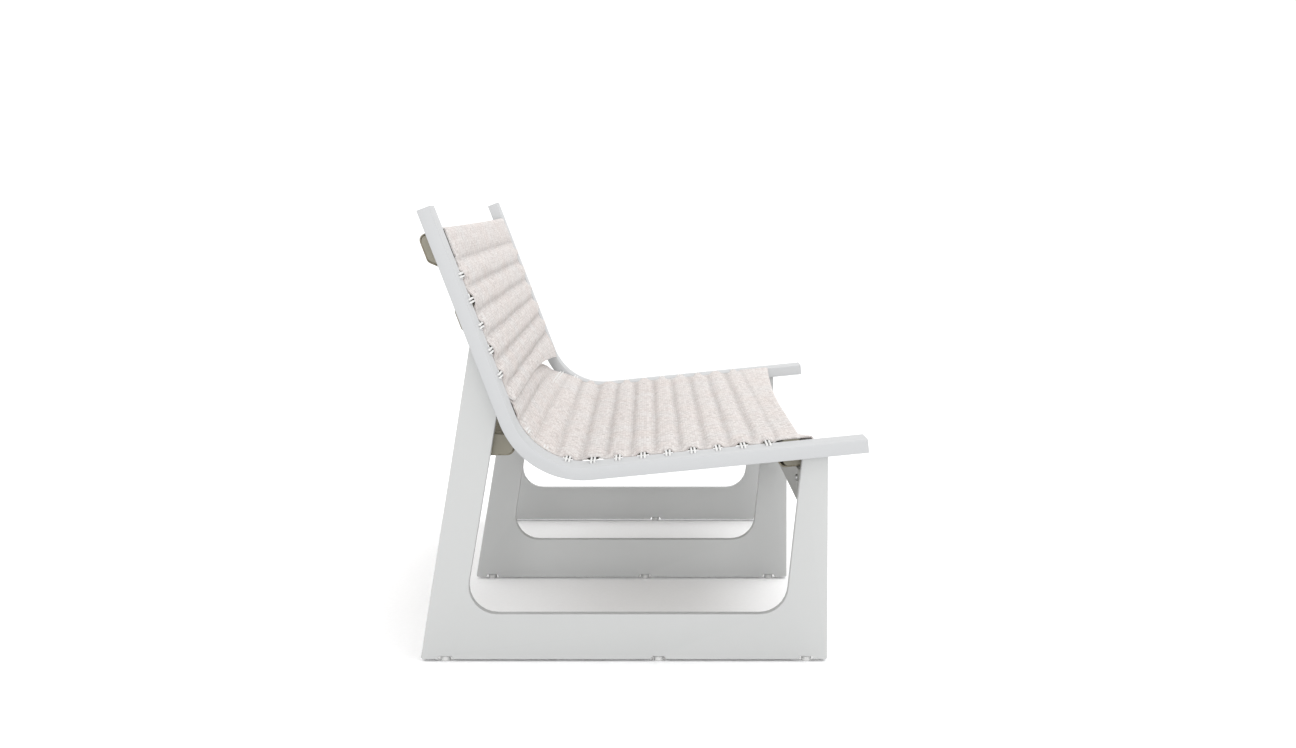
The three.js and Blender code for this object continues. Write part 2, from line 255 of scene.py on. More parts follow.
def tube(name, path, r, sides=12, up=(0, 0, 1)):
    """A round tube through the points of path (metres), closed by flat ends."""
    p = np.array(path, float)
    n = len(p)
    tan = np.gradient(p, axis=0)
    tan /= np.linalg.norm(tan, axis=1)[:, None]
    ref = np.array(up, float)
    verts, faces = [], []
    prev = None
    for i in range(n):
        if prev is None:
            a = ref - tan[i] * (ref @ tan[i])
        else:
            a = prev - tan[i] * (prev @ tan[i])
        a /= np.linalg.norm(a)
        prev = a
        b = np.cross(tan[i], a)
        for k in range(sides):
            q = 2 * math.pi * k / sides
            verts.append(p[i] + r * (math.cos(q) * a + math.sin(q) * b))
    for i in range(n - 1):
        for k in range(sides):
            m = (k + 1) % sides
            faces.append((i * sides + k, i * sides + m, (i + 1) * sides + m, (i + 1) * sides + k))
    faces.append(tuple(range(sides))[::-1])
    faces.append(tuple(range((n - 1) * sides, n * sides)))
    return verts, faces


def merge(parts):
    verts, faces = [], []
    for v, f in parts:
        k = len(verts)
        verts += list(v)
        faces += [tuple(i + k for i in q) for q in f]
    return verts, faces


# ---------------------------------------------------------------- materials
def node(nt, kind, loc=(0, 0), **values):
    n = nt.nodes.new(kind)
    n.location = loc
    for k, v in values.items():
        if k in n.inputs:
            n.inputs[k].default_value = v
        else:
            setattr(n, k, v)
    return n


def math_node(nt, op, a, b=None, clamp=False):
    n = nt.nodes.new("ShaderNodeMath")
    n.operation = op
    n.use_clamp = clamp
    for i, v in enumerate((a, b)):
        if v is None:
            continue
        if isinstance(v, (int, float)):
            n.inputs[i].default_value = v
        else:
            nt.links.new(v, n.inputs[i])
    return n.outputs[0]


def ramp(nt, fac, stops):
    n = nt.nodes.new("ShaderNodeValToRGB")
    while len(n.color_ramp.elements) < len(stops):
        n.color_ramp.elements.new(0.5)
    for e, (p, c) in zip(n.color_ramp.elements, stops):
        e.position = p
        e.color = (*c, 1) if len(c) == 3 else c
    nt.links.new(fac, n.inputs[0])
    return n.outputs[0]


def mix(nt, fac, a, b, blend="MIX"):
    n = nt.nodes.new("ShaderNodeMix")
    n.data_type = "RGBA"
    n.blend_type = blend
    for sock, v in ((n.inputs[0], fac), (n.inputs[6], a), (n.inputs[7], b)):
        if isinstance(v, (int, float)):
            sock.default_value = v
        elif isinstance(v, tuple):
            sock.default_value = (*v, 1) if len(v) == 3 else v
        else:
            nt.links.new(v, sock)
    return n.outputs[2]


def start(name):
    m = bpy.data.materials.new(name)
    m.use_nodes = True
    nt = m.node_tree
    nt.nodes.clear()
    out = node(nt, "ShaderNodeOutputMaterial", (600, 0))
    bsdf = node(nt, "ShaderNodeBsdfPrincipled", (300, 0))
    nt.links.new(bsdf.outputs[0], out.inputs[0])
    return m, nt, bsdf


def powder_coat(name, colour, wear, roughness=0.46, peel=0.00005, dirt=0.03):
    """Satin powder coat: a fine orange peel, a little lighter on the edges, a breath of dust in wide soft patches."""
    m, nt, bsdf = start(name)
    tc = node(nt, "ShaderNodeTexCoord")
    pos = tc.outputs["Object"]
    fine = node(nt, "ShaderNodeTexNoise", Scale=950.0, Detail=3.0, Roughness=0.55)
    nt.links.new(pos, fine.inputs["Vector"])
    wide = node(nt, "ShaderNodeTexNoise", Scale=5.0, Detail=4.0, Roughness=0.6)
    nt.links.new(pos, wide.inputs["Vector"])
    geo = node(nt, "ShaderNodeNewGeometry")
    edge = ramp(nt, geo.outputs["Pointiness"], [(0.0, (0, 0, 0)), (0.505, (0, 0, 0)), (0.56, (1, 1, 1))])
    base = mix(nt, wide.outputs["Fac"], tuple(c * (1 - dirt) for c in colour), tuple(min(1, c * (1 + dirt * 0.6)) for c in colour))
    speck = ramp(nt, fine.outputs["Fac"], [(0.3, (0.97, 0.97, 0.97)), (0.7, (1.0, 1.0, 1.0))])
    base = mix(nt, 1.0, base, speck, "MULTIPLY")
    worn = math_node(nt, "MULTIPLY", edge, 0.35)
    col = mix(nt, worn, base, wear)
    nt.links.new(col, bsdf.inputs["Base Color"])
    r = nt.nodes.new("ShaderNodeMapRange")
    r.inputs["To Min"].default_value = roughness - 0.05
    r.inputs["To Max"].default_value = roughness + 0.09
    nt.links.new(wide.outputs["Fac"], r.inputs["Value"])
    nt.links.new(r.outputs["Result"], bsdf.inputs["Roughness"])
    bsdf.inputs["Specular IOR Level"].default_value = 0.4
    bump = node(nt, "ShaderNodeBump", Strength=0.5, Distance=peel)
    nt.links.new(fine.outputs["Fac"], bump.inputs["Height"])
    nt.links.new(bump.outputs[0], bsdf.inputs["Normal"])
    return m


def fabric(name, light, dark, pink, cell=0.0048, relief=0.0006):
    """Basket weave, laid along the sling's own length and width, with mixed cream, grey and rose yarns."""
    m, nt, bsdf = start(name)
    uv = node(nt, "ShaderNodeUVMap", uv_map="cloth")
    sep = node(nt, "ShaderNodeSeparateXYZ")
    nt.links.new(uv.outputs[0], sep.inputs[0])
    wob = node(nt, "ShaderNodeTexNoise", Scale=60.0, Detail=2.0)
    nt.links.new(uv.outputs[0], wob.inputs["Vector"])
    shift = math_node(nt, "MULTIPLY", math_node(nt, "SUBTRACT", wob.outputs["Fac"], 0.5), 0.0016)
    u = math_node(nt, "DIVIDE", math_node(nt, "ADD", sep.outputs[0], shift), cell)
    v = math_node(nt, "DIVIDE", math_node(nt, "SUBTRACT", sep.outputs[1], shift), cell)
    fu, fv = math_node(nt, "FLOOR", u), math_node(nt, "FLOOR", v)
    chk = math_node(nt, "PINGPONG", math_node(nt, "ADD", fu, fv), 1.0)
    # each cell holds two yarns; they run along u in one cell and along v in the next
    pu = math_node(nt, "ABSOLUTE", math_node(nt, "SINE", math_node(nt, "MULTIPLY", u, 2 * math.pi)))
    pv = math_node(nt, "ABSOLUTE", math_node(nt, "SINE", math_node(nt, "MULTIPLY", v, 2 * math.pi)))
    lu = math_node(nt, "ABSOLUTE", math_node(nt, "SINE", math_node(nt, "MULTIPLY", u, math.pi)))
    lv = math_node(nt, "ABSOLUTE", math_node(nt, "SINE", math_node(nt, "MULTIPLY", v, math.pi)))
    a = math_node(nt, "MULTIPLY", math_node(nt, "POWER", pv, 0.5), math_node(nt, "POWER", lu, 0.45))
    b = math_node(nt, "MULTIPLY", math_node(nt, "POWER", pu, 0.5), math_node(nt, "POWER", lv, 0.45))
    inv = math_node(nt, "SUBTRACT", 1.0, chk)
    height = math_node(nt, "ADD", math_node(nt, "MULTIPLY", a, chk), math_node(nt, "MULTIPLY", b, inv))
    # one shade for each yarn where it shows
    comb = node(nt, "ShaderNodeCombineXYZ")
    nt.links.new(fu, comb.inputs[0])
    nt.links.new(fv, comb.inputs[1])
    white = node(nt, "ShaderNodeTexWhiteNoise", noise_dimensions="3D")
    nt.links.new(comb.outputs[0], white.inputs["Vector"])
    # long streaks: one yarn keeps its shade for a way along the cloth
    row = node(nt, "ShaderNodeCombineXYZ")
    nt.links.new(math_node(nt, "MULTIPLY", sep.outputs[1], 26.0), row.inputs[0])
    nt.links.new(math_node(nt, "MULTIPLY", fu, 0.37), row.inputs[1])
    streak = node(nt, "ShaderNodeTexNoise", Scale=1.0, Detail=3.0)
    nt.links.new(row.outputs[0], streak.inputs["Vector"])
    blotch = node(nt, "ShaderNodeTexNoise", Scale=9.0, Detail=3.0, Roughness=0.55)
    nt.links.new(uv.outputs[0], blotch.inputs["Vector"])
    yarn = ramp(nt, white.outputs["Value"], [(0.0, dark), (0.3, pink), (0.55, light), (1.0, tuple(min(1, c * 1.05) for c in light))])
    streaked = mix(nt, math_node(nt, "MULTIPLY", streak.outputs["Fac"], 0.3), yarn, light)
    rose = ramp(nt, blotch.outputs["Fac"], [(0.35, (1.0, 1.0, 1.0)), (0.65, (1.0, 0.965, 0.95))])
    col = mix(nt, 1.0, streaked, rose, "MULTIPLY")
    # painted shade: the low places between the yarns of the weave are made darker
    groove_shade = ramp(nt, height, [(0.0, (0.66, 0.64, 0.62)), (0.5, (0.97, 0.965, 0.96)), (1.0, (1.0, 1.0, 1.0))])
    col = mix(nt, 1.0, col, groove_shade, "MULTIPLY")
    seam_shade = node(nt, "ShaderNodeAttribute", attribute_name="seam_shade")
    dashes = math_node(nt, "GREATER_THAN", math_node(nt, "SINE", math_node(nt, "MULTIPLY", sep.outputs[1], 2 * math.pi / 0.0046)), -0.35)
    # painted shade: the per-row weight darkens the colour towards a dark yarn tone in the valleys between the ribs and
    # along the sewn lines; the stitch dashes are in the bump only
    crease_shade = math_node(nt, "MULTIPLY", seam_shade.outputs["Fac"], 0.17)
    col = mix(nt, crease_shade, col, tuple(c * 0.55 for c in dark))
    nt.links.new(col, bsdf.inputs["Base Color"])
    bsdf.inputs["Roughness"].default_value = 0.93
    bsdf.inputs["Specular IOR Level"].default_value = 0.15
    bsdf.inputs["Sheen Weight"].default_value = 0.03
    bsdf.inputs["Sheen Roughness"].default_value = 0.6
    fibre = node(nt, "ShaderNodeTexNoise", Scale=2600.0, Detail=2.0)
    nt.links.new(uv.outputs[0], fibre.inputs["Vector"])
    total = math_node(nt, "ADD", height, math_node(nt, "MULTIPLY", fibre.outputs["Fac"], 0.25))
    total = math_node(nt, "SUBTRACT", total, math_node(nt, "MULTIPLY", math_node(nt, "MULTIPLY", dashes, seam_shade.outputs["Fac"]), 0.6))
    bump = node(nt, "ShaderNodeBump", Strength=0.85, Distance=relief)
    nt.links.new(total, bump.inputs["Height"])
    nt.links.new(bump.outputs[0], bsdf.inputs["Normal"])
    return m


def cord_material(name):
    m, nt, bsdf = start(name)
    uv = node(nt, "ShaderNodeTexCoord")
    sep = node(nt, "ShaderNodeSeparateXYZ")
    nt.links.new(uv.outputs["Object"], sep.inputs[0])
    p = math_node(nt, "MULTIPLY", sep.outputs[0], 2 * math.pi / 0.0022)
    q = math_node(nt, "MULTIPLY", math_node(nt, "ADD", sep.outputs[1], sep.outputs[2]), 2 * math.pi / 0.003)
    h = math_node(nt, "MULTIPLY", math_node(nt, "SINE", math_node(nt, "ADD", p, q)), math_node(nt, "SINE", math_node(nt, "SUBTRACT", p, q)))
    # painted shade: the white braid is made darker in its low places
    col = ramp(nt, h, [(0.0, (0.55, 0.55, 0.54)), (0.45, (0.74, 0.74, 0.735)), (1.0, (0.78, 0.78, 0.775))])
    nt.links.new(col, bsdf.inputs["Base Color"])
    bsdf.inputs["Roughness"].default_value = 0.7
    bump = node(nt, "ShaderNodeBump", Strength=0.6, Distance=0.00018)
    nt.links.new(h, bump.inputs["Height"])
    nt.links.new(bump.outputs[0], bsdf.inputs["Normal"])
    return m


def nylon_material(name):
    m, nt, bsdf = start(name)
    tc = node(nt, "ShaderNodeTexCoord")
    n = node(nt, "ShaderNodeTexNoise", Scale=160.0, Detail=4.0)
    nt.links.new(tc.outputs["Object"], n.inputs["Vector"])
    nt.links.new(ramp(nt, n.outputs["Fac"], [(0.3, (0.42, 0.42, 0.415)), (0.7, (0.5, 0.5, 0.495))]), bsdf.inputs["Base Color"])
    bsdf.inputs["Roughness"].default_value = 0.55
    bump = node(nt, "ShaderNodeBump", Strength=0.3, Distance=0.0001)
    nt.links.new(n.outputs["Fac"], bump.inputs["Height"])
    nt.links.new(bump.outputs[0], bsdf.inputs["Normal"])
    return m


def steel_material(name):
    m, nt, bsdf = start(name)
    tc = node(nt, "ShaderNodeTexCoord")
    n = node(nt, "ShaderNodeTexNoise", Scale=420.0, Detail=4.0)
    nt.links.new(tc.outputs["Object"], n.inputs["Vector"])
    nt.links.new(ramp(nt, n.outputs["Fac"], [(0.3, (0.30, 0.30, 0.295)), (0.7, (0.38, 0.38, 0.375))]), bsdf.inputs["Base Color"])
    bsdf.inputs["Metallic"].default_value = 0.9
    r = nt.nodes.new("ShaderNodeMapRange")
    r.inputs["To Min"].default_value = 0.38
    r.inputs["To Max"].default_value = 0.55
    nt.links.new(n.outputs["Fac"], r.inputs["Value"])
    nt.links.new(r.outputs["Result"], bsdf.inputs["Roughness"])
    return m


RAIL_COAT = powder_coat("powder_coat_rail", (0.392, 0.398, 0.404), (0.455, 0.46, 0.465))
LEG_COAT = powder_coat("powder_coat_leg", (0.392, 0.397, 0.394), (0.455, 0.46, 0.455))
# painted shade: the apron has the frame's own light coat, made darker here to stand for the shade under the seat
APRON_SHADE_COAT = powder_coat("powder_coat_apron_painted_shade", (0.20, 0.20, 0.183), (0.24, 0.24, 0.22))
BAR_COAT = powder_coat("crossbar_coat", (0.195, 0.18, 0.137), (0.235, 0.22, 0.175))
FABRIC = fabric("sling_fabric", (0.605, 0.59, 0.58), (0.42, 0.402, 0.393), (0.548, 0.507, 0.495))
LINING = fabric("sling_lining", (0.25, 0.232, 0.182), (0.16, 0.146, 0.11), (0.205, 0.19, 0.147))
CORD = cord_material("elastic_cord")
NYLON = nylon_material("glide_nylon")
STEEL = steel_material("bolt_steel")


def finish_piece(ob, slot, *nodes, body="root"):
    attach(ob, body)
    if nodes:
        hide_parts(*nodes)
    return ob


# ---------------------------------------------------------------- side rails
def rail_outline():
    out = [on_back(BACK_LEN, 0)]
    for i in range(49):
        q = A0 + (A1 - A0) * i / 48
        out.append(C + OUT_R * np.array([math.cos(q), math.sin(q)]))
    out.append(on_seat(SEAT_LEN, 0))
    out.append(on_seat(SEAT_LEN, RAIL_T))
    for i in range(48, -1, -1):
        q = A0 + (A1 - A0) * i / 48
        out.append(C + BEND_R * np.array([math.cos(q), math.sin(q)]))
    out.append(on_back(BACK_LEN, RAIL_T))
    return out


def along(kind, t, n):
    return on_rail(t, n) if kind == "seat" else on_back(t, n)


HOLE_X = 685.0
REAR_T = (-86.0, -130.0)


def w_far(x):
    """0 over the near half of the bench, growing to 1 at the far end: how far the free rear edges hang down."""
    t = min(1.0, max(0.0, (x + 100.0) / 739.0))
    return t ** 1.6


FAR_LINE = smooth_through([(-162.4, 359.7), (-181.0, 367.5), (-200.0, 375.0), (-220.0, 380.5),
                           (-238.0, 387.0), (-250.0, 395.5), (-260.0, 399.3)], 67)
T_VALLEY = -64.0
T_TOP = -190.0


def rear_mid(v, x):
    """Middle line of the seat sling behind its last full rib, v from 0 to 1."""
    t = T_VALLEY + (T_TOP - T_VALLEY) * v
    near = on_rail(t, 21.4 + 3.2 * smoothstep(-t, 148, 168))
    f = v * (len(FAR_LINE) - 1)
    i = min(len(FAR_LINE) - 2, int(f))
    far = FAR_LINE[i] * (1 - (f - i)) + FAR_LINE[i + 1] * (f - i)
    w = w_far(x)
    return near * (1 - w) + far * w


def rear_cord_path(k, x):
    v = (REAR_T[k] - T_VALLEY) / (T_TOP - T_VALLEY)
    p = rear_mid(v, x)
    a, b = rear_mid(v - 0.01, x), rear_mid(v + 0.01, x)
    d = (a - b) / np.linalg.norm(a - b)
    nrm = np.array([-d[1], d[0]])
    drop = 11.0 * smoothstep(abs(x), 618, 648) * (1 - w_far(x))
    return p + nrm * (2.2 - drop), d


def make_rail(side, sign):
    x0, x1 = (-H, -IN) if sign < 0 else (IN, H)
    ob = profile_solid(f"side_rail_{side}_coated", rail_outline(), x0, x1, bevel=2.0, segs=4, angle=28)
    parts = []
    for kind, ts in (("seat", SEAT_CORDS), ("back", BACK_CORDS)):
        for t in ts:
            for e in (-1, 1):
                c0 = along(kind, t, 14.5)
                c1 = along(kind, t, 27.0)
                d = along(kind, t + 1, 25) - along(kind, t - 1, 25)
                d = d / np.linalg.norm(d) * e * PAIR / 2
                path = [W(sign * HOLE_X, c0 + d), W(sign * HOLE_X, c1 + d)]
                parts.append(tube("", path, 0.0027, 16, up=(1, 0, 0)))
    for k in range(2):
        p, d = rear_cord_path(k, sign * 649)
        for e in (-1, 1):
            q = p + d * e * PAIR / 2
            parts.append(tube("", [W(sign * 647.5, q), W(sign * 660, q)], 0.0027, 16))
    v, f = merge(parts)
    cutter = new_mesh(f"cutter_{side}", v, f, None)
    bm_normals(cutter)
    mod = ob.modifiers.new("holes", "BOOLEAN")
    mod.operation = "DIFFERENCE"
    mod.solver = "EXACT"
    mod.object = cutter
    bpy.context.view_layer.update()
    dg = bpy.context.evaluated_depsgraph_get()
    me = bpy.data.meshes.new_from_object(ob.evaluated_get(dg))
    ob.modifiers.clear()
    ob.data = me
    bpy.data.objects.remove(cutter)
    shade(me, 28)
    me.materials.clear()
    me.materials.append(RAIL_COAT)
    return finish_piece(ob, "powder_coat_rail", f"side_rail_{side}")


make_rail("left", -1)
make_rail("right", 1)

# ---------------------------------------------------------------- legs, aprons, glides, bolts keep their CAD shape
for name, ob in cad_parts.items():
    if name.startswith("leg_frame"):
        mat = LEG_COAT
    elif name.startswith("front_apron"):
        mat = APRON_SHADE_COAT
    elif name.startswith("glide"):
        mat = NYLON
    elif name.startswith("apron_bolt"):
        mat = STEEL
    elif name.startswith("crossbar"):
        mat = BAR_COAT
    else:
        continue
    for s in ob.material_slots:
        s.material = mat
    if not ob.material_slots:
        ob.data.materials.append(mat)

# ---------------------------------------------------------------- cross bars: body inside the pockets, narrower ends that meet the rails
def box_outline(f, s0, s1, n0, n1, r):
    return rounded([(*f(s, n), r) for s, n in ((s0, n0), (s1, n0), (s1, n1), (s0, n1))], True, 8)


def bar_with_ends(name, body, ends, nodes):
    """A bar whose ends, outside the sling, are a smaller tube."""
    def ring(outline):
        o = clean(outline)
        return np.array(o if area2(o) > 0 else o[::-1])
    body, ends = ring(body), ring(ends)
    n = 96
    def even(p):
        c = p.mean(0)
        q = np.vstack([p, p[:1]])
        ang = np.unwrap(np.arctan2(q[:, 1] - c[1], q[:, 0] - c[0]))
        base = np.linspace(0, 2 * math.pi, n, endpoint=False)
        out = []
        for b in base:
            k = (b - ang[0]) % (2 * math.pi) + ang[0]
            i = np.searchsorted(ang, k, side="right") - 1
            i = min(max(i, 0), len(ang) - 2)
            span = ang[i + 1] - ang[i]
            t = 0 if span < 1e-9 else (k - ang[i]) / span
            # exact crossing of the ray with the outline's side
            a, e = q[i] - c, q[i + 1] - q[i]
            d = np.array([math.cos(k), math.sin(k)])
            den = d[0] * (-e[1]) - d[1] * (-e[0])
            if abs(den) > 1e-9:
                t = (d[0] * (-a[1]) - d[1] * (-a[0])) / den * -1
                t = (a[0] * d[1] - a[1] * d[0]) / (d[0] * e[1] - d[1] * e[0])
            out.append(c + a + e * min(1, max(0, t)))
        return np.array(out)
    b, s = even(body), even(ends)
    cb = b.mean(0)
    def shrink(p, k):
        return cb + (p - cb) * k
    stations = [(-IN + 0.3, s), (-639.2, s), (-639.1, shrink(b, 0.95)), (-638.6, shrink(b, 0.985)), (-637.4, b),
                (637.4, b), (638.6, shrink(b, 0.985)), (639.1, shrink(b, 0.95)), (639.2, s), (IN - 0.3, s)]
    verts, faces = [], []
    for x, p in stations:
        verts += [W(x, q) for q in p]
    for r in range(len(stations) - 1):
        for i in range(n):
            j = (i + 1) % n
            faces.append((r * n + i, r * n + j, (r + 1) * n + j, (r + 1) * n + i))
    faces.append(tuple(range(n))[::-1])
    faces.append(tuple(range((len(stations) - 1) * n, len(stations) * n)))
    ob = new_mesh(name, verts, faces, None)
    bm_normals(ob)
    shade(ob.data, 30)
    ob.data.materials.append(BAR_COAT)
    return finish_piece(ob, "crossbar_coat", *nodes)


top_box = rounded([(*on_back(349, -21.9), 9), (*on_back(349, 22.2), 8), (*on_back(290, 20.0), 4),
                   (*on_back(280.8, 9.0), 4), (*on_back(281.0, 2.4), 3), (*on_back(304.4, -21.9), 9)], True, 8)
top_end = rounded([(*on_back(347, -20.6), 8), (*on_back(347, 9), 5), (*on_back(283.5, 9), 3),
                   (*on_back(283.0, 2.6), 3), (*on_back(305.2, -20.6), 8)], True, 8)
bar_with_ends("crossbar_top_coated", top_box, top_end, ["crossbar_top"])
bar_with_ends("crossbar_front_coated", box_outline(on_seat, 338, 372.2, -21.4, 24.4, 6.5),
              box_outline(on_seat, 339.5, 370.8, -20.0, 13, 6), ["crossbar_front"])
rear_box = rounded([(-291, 360.5, 12), (-238.5, 360.5, 12), (-238.5, 397.5, 22), (-291, 397.5, 12)], True, 8)
rear_end = rounded([(-290.5, 361, 12), (-239, 361, 12), (-239, 396, 21), (-290.5, 397, 12)], True, 8)
bar_with_ends("crossbar_rear_coated", rear_box, rear_end, ["crossbar_rear"])


# ---------------------------------------------------------------- cords: two strands each, dipping into their holes in the rails
def cord_piece(name, kind, t, nodes):
    parts = []
    d = along(kind, t + 1, 25) - along(kind, t - 1, 25)
    d = d / np.linalg.norm(d)
    for e in (-1, 1):
        pts = []

        def put(x, n, spread=1.0):
            pts.append(W(x, along(kind, t, n) + d * e * spread * PAIR / 2))
        turn = 4.0
        for sgn in (-1, 1):
            arc = []
            for k in range(9):
                q = math.pi / 2 * k / 8
                arc.append((HOLE_X - turn + turn * math.sin(q), 25.75 - turn + turn * math.cos(q)))
            seq = [(600 + 6 * k, 25.75) for k in range(14) if 600 + 6 * k < HOLE_X - turn - 1] + arc + [(HOLE_X, 18.5), (HOLE_X, 16.0)]
            if sgn < 0:
                for x, n in seq[::-1]:
                    put(-x, n)
                for k in range(1, 40):
                    put(-600 + 1200 * k / 40, 25.75)
            else:
                for x, n in seq:
                    put(x, n)
        parts.append(tube("", pts, CORD_R / 1000, 12))
    v, f = merge(parts)
    ob = new_mesh(name, v, f, 60)
    ob.data.materials.append(CORD)
    return finish_piece(ob, "elastic_cord", *nodes)


for i, t in enumerate(SEAT_CORDS):
    cord_piece(f"seat_cord_{i + 1:02d}_strands", "seat", t, [f"seat_cord_{i + 1:02d}"])
for i, t in enumerate(BACK_CORDS):
    cord_piece(f"back_cord_{i + 1}_strands", "back", t, [f"back_cord_{i + 1}"])
for k in range(2):
    parts = []
    for e in (-1, 1):
        pts = []
        for x in np.r_[np.linspace(-657, -610, 24), np.linspace(-600, 600, 81), np.linspace(610, 657, 24)]:
            p, d = rear_cord_path(k, max(-649, min(649, x)))
            pts.append(W(x, p + d * e * PAIR / 2))
        parts.append(tube("", pts, CORD_R / 1000, 12))
    v, f = merge(parts)
    ob = new_mesh(f"seat_rear_cord_{k + 1}_strands", v, f, 60)
    ob.data.materials.append(CORD)
    finish_piece(ob, "elastic_cord", f"seat_rear_cord_{k + 1}")


# ---------------------------------------------------------------- slings
def columns():
    edge = [639, 637.5, 634, 629, 627.6, 622, 615, 606, 595]
    mid = list(np.linspace(582, -582, 71))
    return np.array(edge[::-1] and [-e for e in edge] + mid[::-1] + edge[::-1])


XS = columns()


def wave(x, y, seed):
    """A small smooth unevenness, between about -1 and 1."""
    return (math.sin(x * 0.0121 + y * 0.031 + seed * 1.7) * 0.5
            + math.sin(x * 0.0277 - y * 0.017 + seed * 2.9 + 1.3) * 0.3
            + math.sin(x * 0.0534 + y * 0.047 + seed * 0.7 + 4.1) * 0.2)


def hem_t(x, base):
    """Half thickness of the cloth: thicker along the side hems, where it is folded once."""
    return base * (1.0 + 0.55 * smoothstep(abs(x), 627, 628.5))


def sheet_mesh(name, lines, half, seam_shade, split=None):
    """lines[i][j] = (u, z) of the middle of the cloth at column j; half[i] its half thickness. Closed shell."""
    P = np.array(lines, float)                       # rows, columns, 2
    rows, cols = P.shape[:2]
    X = np.broadcast_to(XS[None, :], (rows, cols))
    Q = np.stack([X, -(P[..., 0] + U0), P[..., 1]], -1) / 1000.0
    du = np.gradient(Q, axis=0)
    dx = np.gradient(Q, axis=1)
    N = np.cross(du, dx)
    N /= np.linalg.norm(N, axis=-1)[..., None]
    T = np.array([[half(i, x) for x in XS] for i in range(rows)]) / 1000.0
    top = Q + N * T[..., None]
    bot = Q - N * T[..., None]
    # cloth coordinates: along the sling at its middle column, and along X
    mid = cols // 2
    s = np.r_[0, np.cumsum(np.linalg.norm(np.diff(Q[:, mid], axis=0), axis=1))]
    verts = np.vstack([top.reshape(-1, 3), bot.reshape(-1, 3)])
    k = rows * cols

    def a(i, j):
        return i * cols + j
    faces, mats = [], []
    for i in range(rows - 1):
        for j in range(cols - 1):
            faces.append((a(i, j), a(i + 1, j), a(i + 1, j + 1), a(i, j + 1)))
            mats.append((i, 0))
            faces.append((k + a(i, j), k + a(i, j + 1), k + a(i + 1, j + 1), k + a(i + 1, j)))
            mats.append((i, 1))
    for i in range(rows - 1):
        faces.append((a(i, 0), k + a(i, 0), k + a(i + 1, 0), a(i + 1, 0)))
        faces.append((a(i, cols - 1), a(i + 1, cols - 1), k + a(i + 1, cols - 1), k + a(i, cols - 1)))
        mats += [(i, 2)] * 2
    for j in range(cols - 1):
        faces.append((a(0, j), a(0, j + 1), k + a(0, j + 1), k + a(0, j)))
        faces.append((a(rows - 1, j), k + a(rows - 1, j), k + a(rows - 1, j + 1), a(rows - 1, j + 1)))
        mats += [(0, 2), (rows - 1, 2)]
    ob = new_mesh(name, verts, faces, None)
    me = ob.data
    uv = me.uv_layers.new(name="cloth")
    lv = np.zeros(len(me.loops), np.int32)
    me.loops.foreach_get("vertex_index", lv)
    vi = lv % k
    co = np.stack([s[vi // cols], XS[vi % cols] / 1000.0], -1).astype(np.float32)
    uv.data.foreach_set("uv", co.ravel())
    # per-row weight for the stitch dashes and for the painted shade in the creases
    at = me.attributes.new("seam_shade", "FLOAT", "POINT")
    sm = np.repeat(np.array(seam_shade, np.float32), cols)
    at.data.foreach_set("value", np.r_[sm, sm].astype(np.float32))
    me.materials.append(FABRIC)
    me.materials.append(LINING)
    if split is not None:
        me.polygons.foreach_set("material_index", [1 if split(i) else 0 for i, _ in mats])
    bm_normals(ob)
    shade(me, 50)
    return ob, s


T0 = 0.85        # half thickness of the cloth
CREST = 28.9
VALLEY = 23.0
EDGE_LIFT = {"seat": [5, 13, 4, 7.5, 4.5, 6.5, 4.5, 9, 5], "back": [4, 10, 4.5, 7.5, 5]}


def rib(kind, index, d, half_pitch, x):
    """Height of the cloth over the rail's under face, d from the cord: a soft puff between the seams,
    and at the side edges a short lift where the cord comes out."""
    seed = index + (20 if kind == "back" else 0)
    q = min(1.0, abs(d) / half_pitch)
    edge = smoothstep(abs(x), 585, 637)
    a = (CREST - VALLEY) * (1 + 0.05 * wave(x, seed * 97, seed))
    inner = VALLEY + a * (0.5 + 0.5 * math.cos(math.pi * q ** 2.0)) + 0.2 * wave(x * 2.3, d * 5, seed + 11)
    sigma = EDGE_LIFT[kind][index]
    outer = 21.4 + 7.6 * math.exp(-(max(0.0, abs(d) - 3.6) / sigma) ** 2)
    return inner * (1 - edge) + outer * edge


def crease(d, half_pitch):
    """How far into the sewn crease a row of cloth is, from 0 to 1; it weights the painted shade in the crease and the
    stitch dashes in the bump.
    """
    return math.exp(-((half_pitch - abs(d)) / 5.5) ** 2)


def w_nose(x):
    """The front pocket's ends are drawn forward along the rails."""
    return max(w_far(x), 0.85 * smoothstep(-x, 588, 637))


# ---- seat sling
pocket = rounded([(312, 12, 0), (322, -4, 10), (336.8, -22.9, 8), (373.6, -22.9, 8),
                  (373.6, 27.6, 7.5), (354, 27.6, 0)], False, 10)
lines, seam_shade_rows, lined = [], [], []


def nose(sn, x):
    g = smoothstep(sn[0], 330, 372) * smoothstep(sn[1], -6, 20) * w_nose(x)
    flat = smoothstep(abs(x), 560, 637) * smoothstep(sn[0], 316, 332)
    n = sn[1] - max(0.0, sn[1] - 26.4) * flat
    return on_seat(sn[0] + 24.5 * g, n - 0.2 * max(0.0, n - 24.0) * g)


pk = resample(pocket, 72)
for i, p in enumerate(pk):
    lines.append([nose((p[0], p[1] + 0.25 * wave(x, i, 3) * (1 if i > 50 else 0)), x) for x in XS])
    seam_shade_rows.append(0.8 if i in (2, 3) else 0.0)
    lined.append(i < 46)
